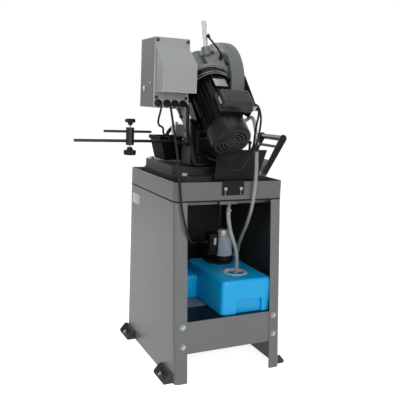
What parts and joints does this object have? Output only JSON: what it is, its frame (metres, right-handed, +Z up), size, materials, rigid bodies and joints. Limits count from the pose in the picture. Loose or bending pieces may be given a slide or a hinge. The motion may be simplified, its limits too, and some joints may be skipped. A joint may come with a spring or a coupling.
{
  "type": "cold saw",
  "caption": "Pedestal cold saw with a tilting motor head on a swivel column, guarded circular blade, screw vise, bar stop, outlet chute, switch cabinet and coolant unit in the stand.",
  "frame": {"origin": "on the floor, at the centre of the four floor bolts", "axes": "+X to the operator's right, +Y to the rear, +Z up"},
  "size_m": [0.9459, 0.8598, 1.4536],
  "materials": {
    "stand_paint": "satin",
    "casting_paint": "satin",
    "guard_paint": "satin",
    "cabinet_paint": "satin",
    "black_paint": "satin",
    "black_casting": "satin",
    "motor_paint": "satin",
    "motor_cover": "satin",
    "jaw_steel": "satin",
    "bright_steel": "polished",
    "dark_steel": "satin",
    "fasteners": "satin",
    "chrome": "polished",
    "tank_plastic": "satin",
    "pump_paint": "satin",
    "black_plastic": "satin",
    "grip_rubber": "matte",
    "cable_rubber": "matte",
    "clear_hose": "gloss",
    "red_plastic": "gloss",
    "green_plastic": "gloss"
  },
  "bodies": {
    "stand": {"stand_shell": "stand_paint", "rear_rails": "stand_paint", "tank_shelf": "black_paint", "floor_feet": "black_paint", "stand_fasteners": "fasteners", "tray": "stand_paint", "hose_fittings": "black_plastic", "coolant_tank": "tank_plastic", "pump_base": "black_plastic", "pump_motor": "pump_paint", "pump_box": "black_plastic", "drain_hose": "cable_rubber", "coolant_hose": "clear_hose", "base_casting": "casting_paint", "vise_bed": "casting_paint", "fixed_jaws": "casting_paint", "chute": "black_paint", "splash_plate": "black_paint", "stop_rod": "dark_steel", "roller_frame": "black_paint"},
    "pump_rotor": {"pump_rotor": "bright_steel"},
    "roller": {"roller": "dark_steel"},
    "moving_jaw": {"moving_jaw": "jaw_steel"},
    "screw": {"vise_screw": "bright_steel", "handwheel": "black_plastic"},
    "stop_barrel": {"stop_barrel": "dark_steel"},
    "stop_pointer": {"stop_pointer": "dark_steel"},
    "stop_knob_upper": {"stop_knob_upper": "black_plastic"},
    "stop_knob_lower": {"stop_knob_lower": "black_plastic"},
    "swivel": {"swivel_column": "black_casting", "pivot_shaft": "bright_steel", "cabinet_box": "stand_paint", "cabinet_cover": "cabinet_paint", "cabinet_fittings": "black_plastic", "cabinet_cables": "cable_rubber", "supply_cable": "cable_rubber", "motor_cables": "cable_rubber", "coolant_branch": "clear_hose", "return_spring": "dark_steel"},
    "miter_lever": {"miter_lever": "black_plastic"},
    "estop_button": {"estop_button": "red_plastic"},
    "start_button": {"start_button": "green_plastic"},
    "main_switch": {"main_switch": "black_plastic"},
    "head": {"gearbox_housing": "casting_paint", "head_arm": "black_casting", "motor_body": "motor_paint", "motor_box": "motor_cover", "fan_cover": "motor_cover", "blade_guard": "guard_paint", "splash_tail": "black_paint", "bearings": "bright_steel", "lever": "chrome", "lever_grip": "grip_rubber", "lever_cable": "cable_rubber", "oil_plug": "red_plastic"},
    "lower_guard": {"lower_guard": "black_paint"},
    "spindle": {"blade": "bright_steel", "spindle": "bright_steel"},
    "worm_shaft": {"worm_shaft": "bright_steel"},
    "trigger": {"trigger": "black_plastic"}
  },
  "joints": [
    {"name": "miter_swivel", "type": "hinge", "parent": "stand", "child": "swivel", "pos_m": [-0.05, -0.03, 0.865], "axis": [0, 0, -1], "range_deg": [-45, 0], "deforming": ["coolant_hose", "supply_cable"]},
    {"name": "head_swing", "type": "hinge", "parent": "swivel", "child": "head", "pos_m": [0.05, 0.09, 1], "axis": [1, 0, 0], "range_deg": [0, 38], "stiffness_Nm_per_rad": 60, "springref_deg": -28.65, "deforming": ["motor_cables", "coolant_branch", "return_spring"]},
    {"name": "guard_swing", "type": "hinge", "parent": "head", "child": "lower_guard", "pos_m": [-0.05, 0.00444, 1.18097], "axis": [1, 0, 0], "range_deg": [0, 137]},
    {"name": "motor_spin", "type": "hinge", "parent": "head", "child": "worm_shaft", "pos_m": [0.05, 0.05081, 1.2307], "axis": [0, 0.7314, -0.682], "continuous": true},
    {"name": "blade_spin", "type": "hinge", "parent": "head", "child": "spindle", "pos_m": [-0.05, 0.00444, 1.18097], "axis": [1, 0, 0], "continuous": true},
    {"name": "trigger_pull", "type": "hinge", "parent": "head", "child": "trigger", "pos_m": [0.03401, 0.00979, 1.41189], "axis": [-0.9041, 0.4274, 0], "range_deg": [0, 7], "stiffness_Nm_per_rad": 0.4, "springref_deg": -11.46},
    {"name": "vise_slide", "type": "slide", "parent": "stand", "child": "moving_jaw", "axis": [0, 1, 0], "range_m": [0, 0.125]},
    {"name": "screw_turn", "type": "hinge", "parent": "stand", "child": "screw", "pos_m": [-0.05, -0.26, 0.919], "axis": [0, 1, 0], "range_deg": [-10, 7510]},
    {"name": "roller_spin", "type": "hinge", "parent": "stand", "child": "roller", "pos_m": [-0.362, -0.023, 0.962], "axis": [0, 1, 0], "continuous": true},
    {"name": "stop_slide", "type": "slide", "parent": "stand", "child": "stop_barrel", "axis": [1, 0, 0], "range_m": [-0.06, 0.2]},
    {"name": "pointer_slide", "type": "slide", "parent": "stop_barrel", "child": "stop_pointer", "axis": [1, 0, 0], "range_m": [-0.08, 0.06]},
    {"name": "knob_upper_turn", "type": "hinge", "parent": "stop_barrel", "child": "stop_knob_upper", "pos_m": [0.332, -0.03, 1.02], "axis": [0, 0, 1], "range_deg": [-90, 90]},
    {"name": "knob_lower_turn", "type": "hinge", "parent": "stop_barrel", "child": "stop_knob_lower", "pos_m": [0.332, -0.03, 0.89], "axis": [0, 0, 1], "range_deg": [-90, 90]},
    {"name": "miter_lever_turn", "type": "hinge", "parent": "swivel", "child": "miter_lever", "pos_m": [-0.2, -0.03, 0.8653], "axis": [1, 0, 0], "range_deg": [-40, 40]},
    {"name": "estop_press", "type": "slide", "parent": "swivel", "child": "estop_button", "axis": [0, 1, 0], "range_m": [0, 0.006]},
    {"name": "start_press", "type": "slide", "parent": "swivel", "child": "start_button", "axis": [0, 1, 0], "range_m": [0, 0.004], "stiffness_N_per_m": 700, "springref_m": -0.004},
    {"name": "main_switch_turn", "type": "hinge", "parent": "swivel", "child": "main_switch", "pos_m": [0.228, -0.01, 1.191], "axis": [0, 1, 0], "range_deg": [0, 90]},
    {"name": "pump_spin", "type": "hinge", "parent": "stand", "child": "pump_rotor", "pos_m": [-0.118, 0, 0.45], "axis": [0, 0, 1], "continuous": true}
  ],
  "couplings": [
    {"joint": "guard_swing", "follows": "head_swing", "ratio": 3.58},
    {"joint": "blade_spin", "follows": "motor_spin", "ratio": 0.027778},
    {"joint": "screw_turn", "follows": "vise_slide", "rad_per_m": 1047.2}
  ]
}
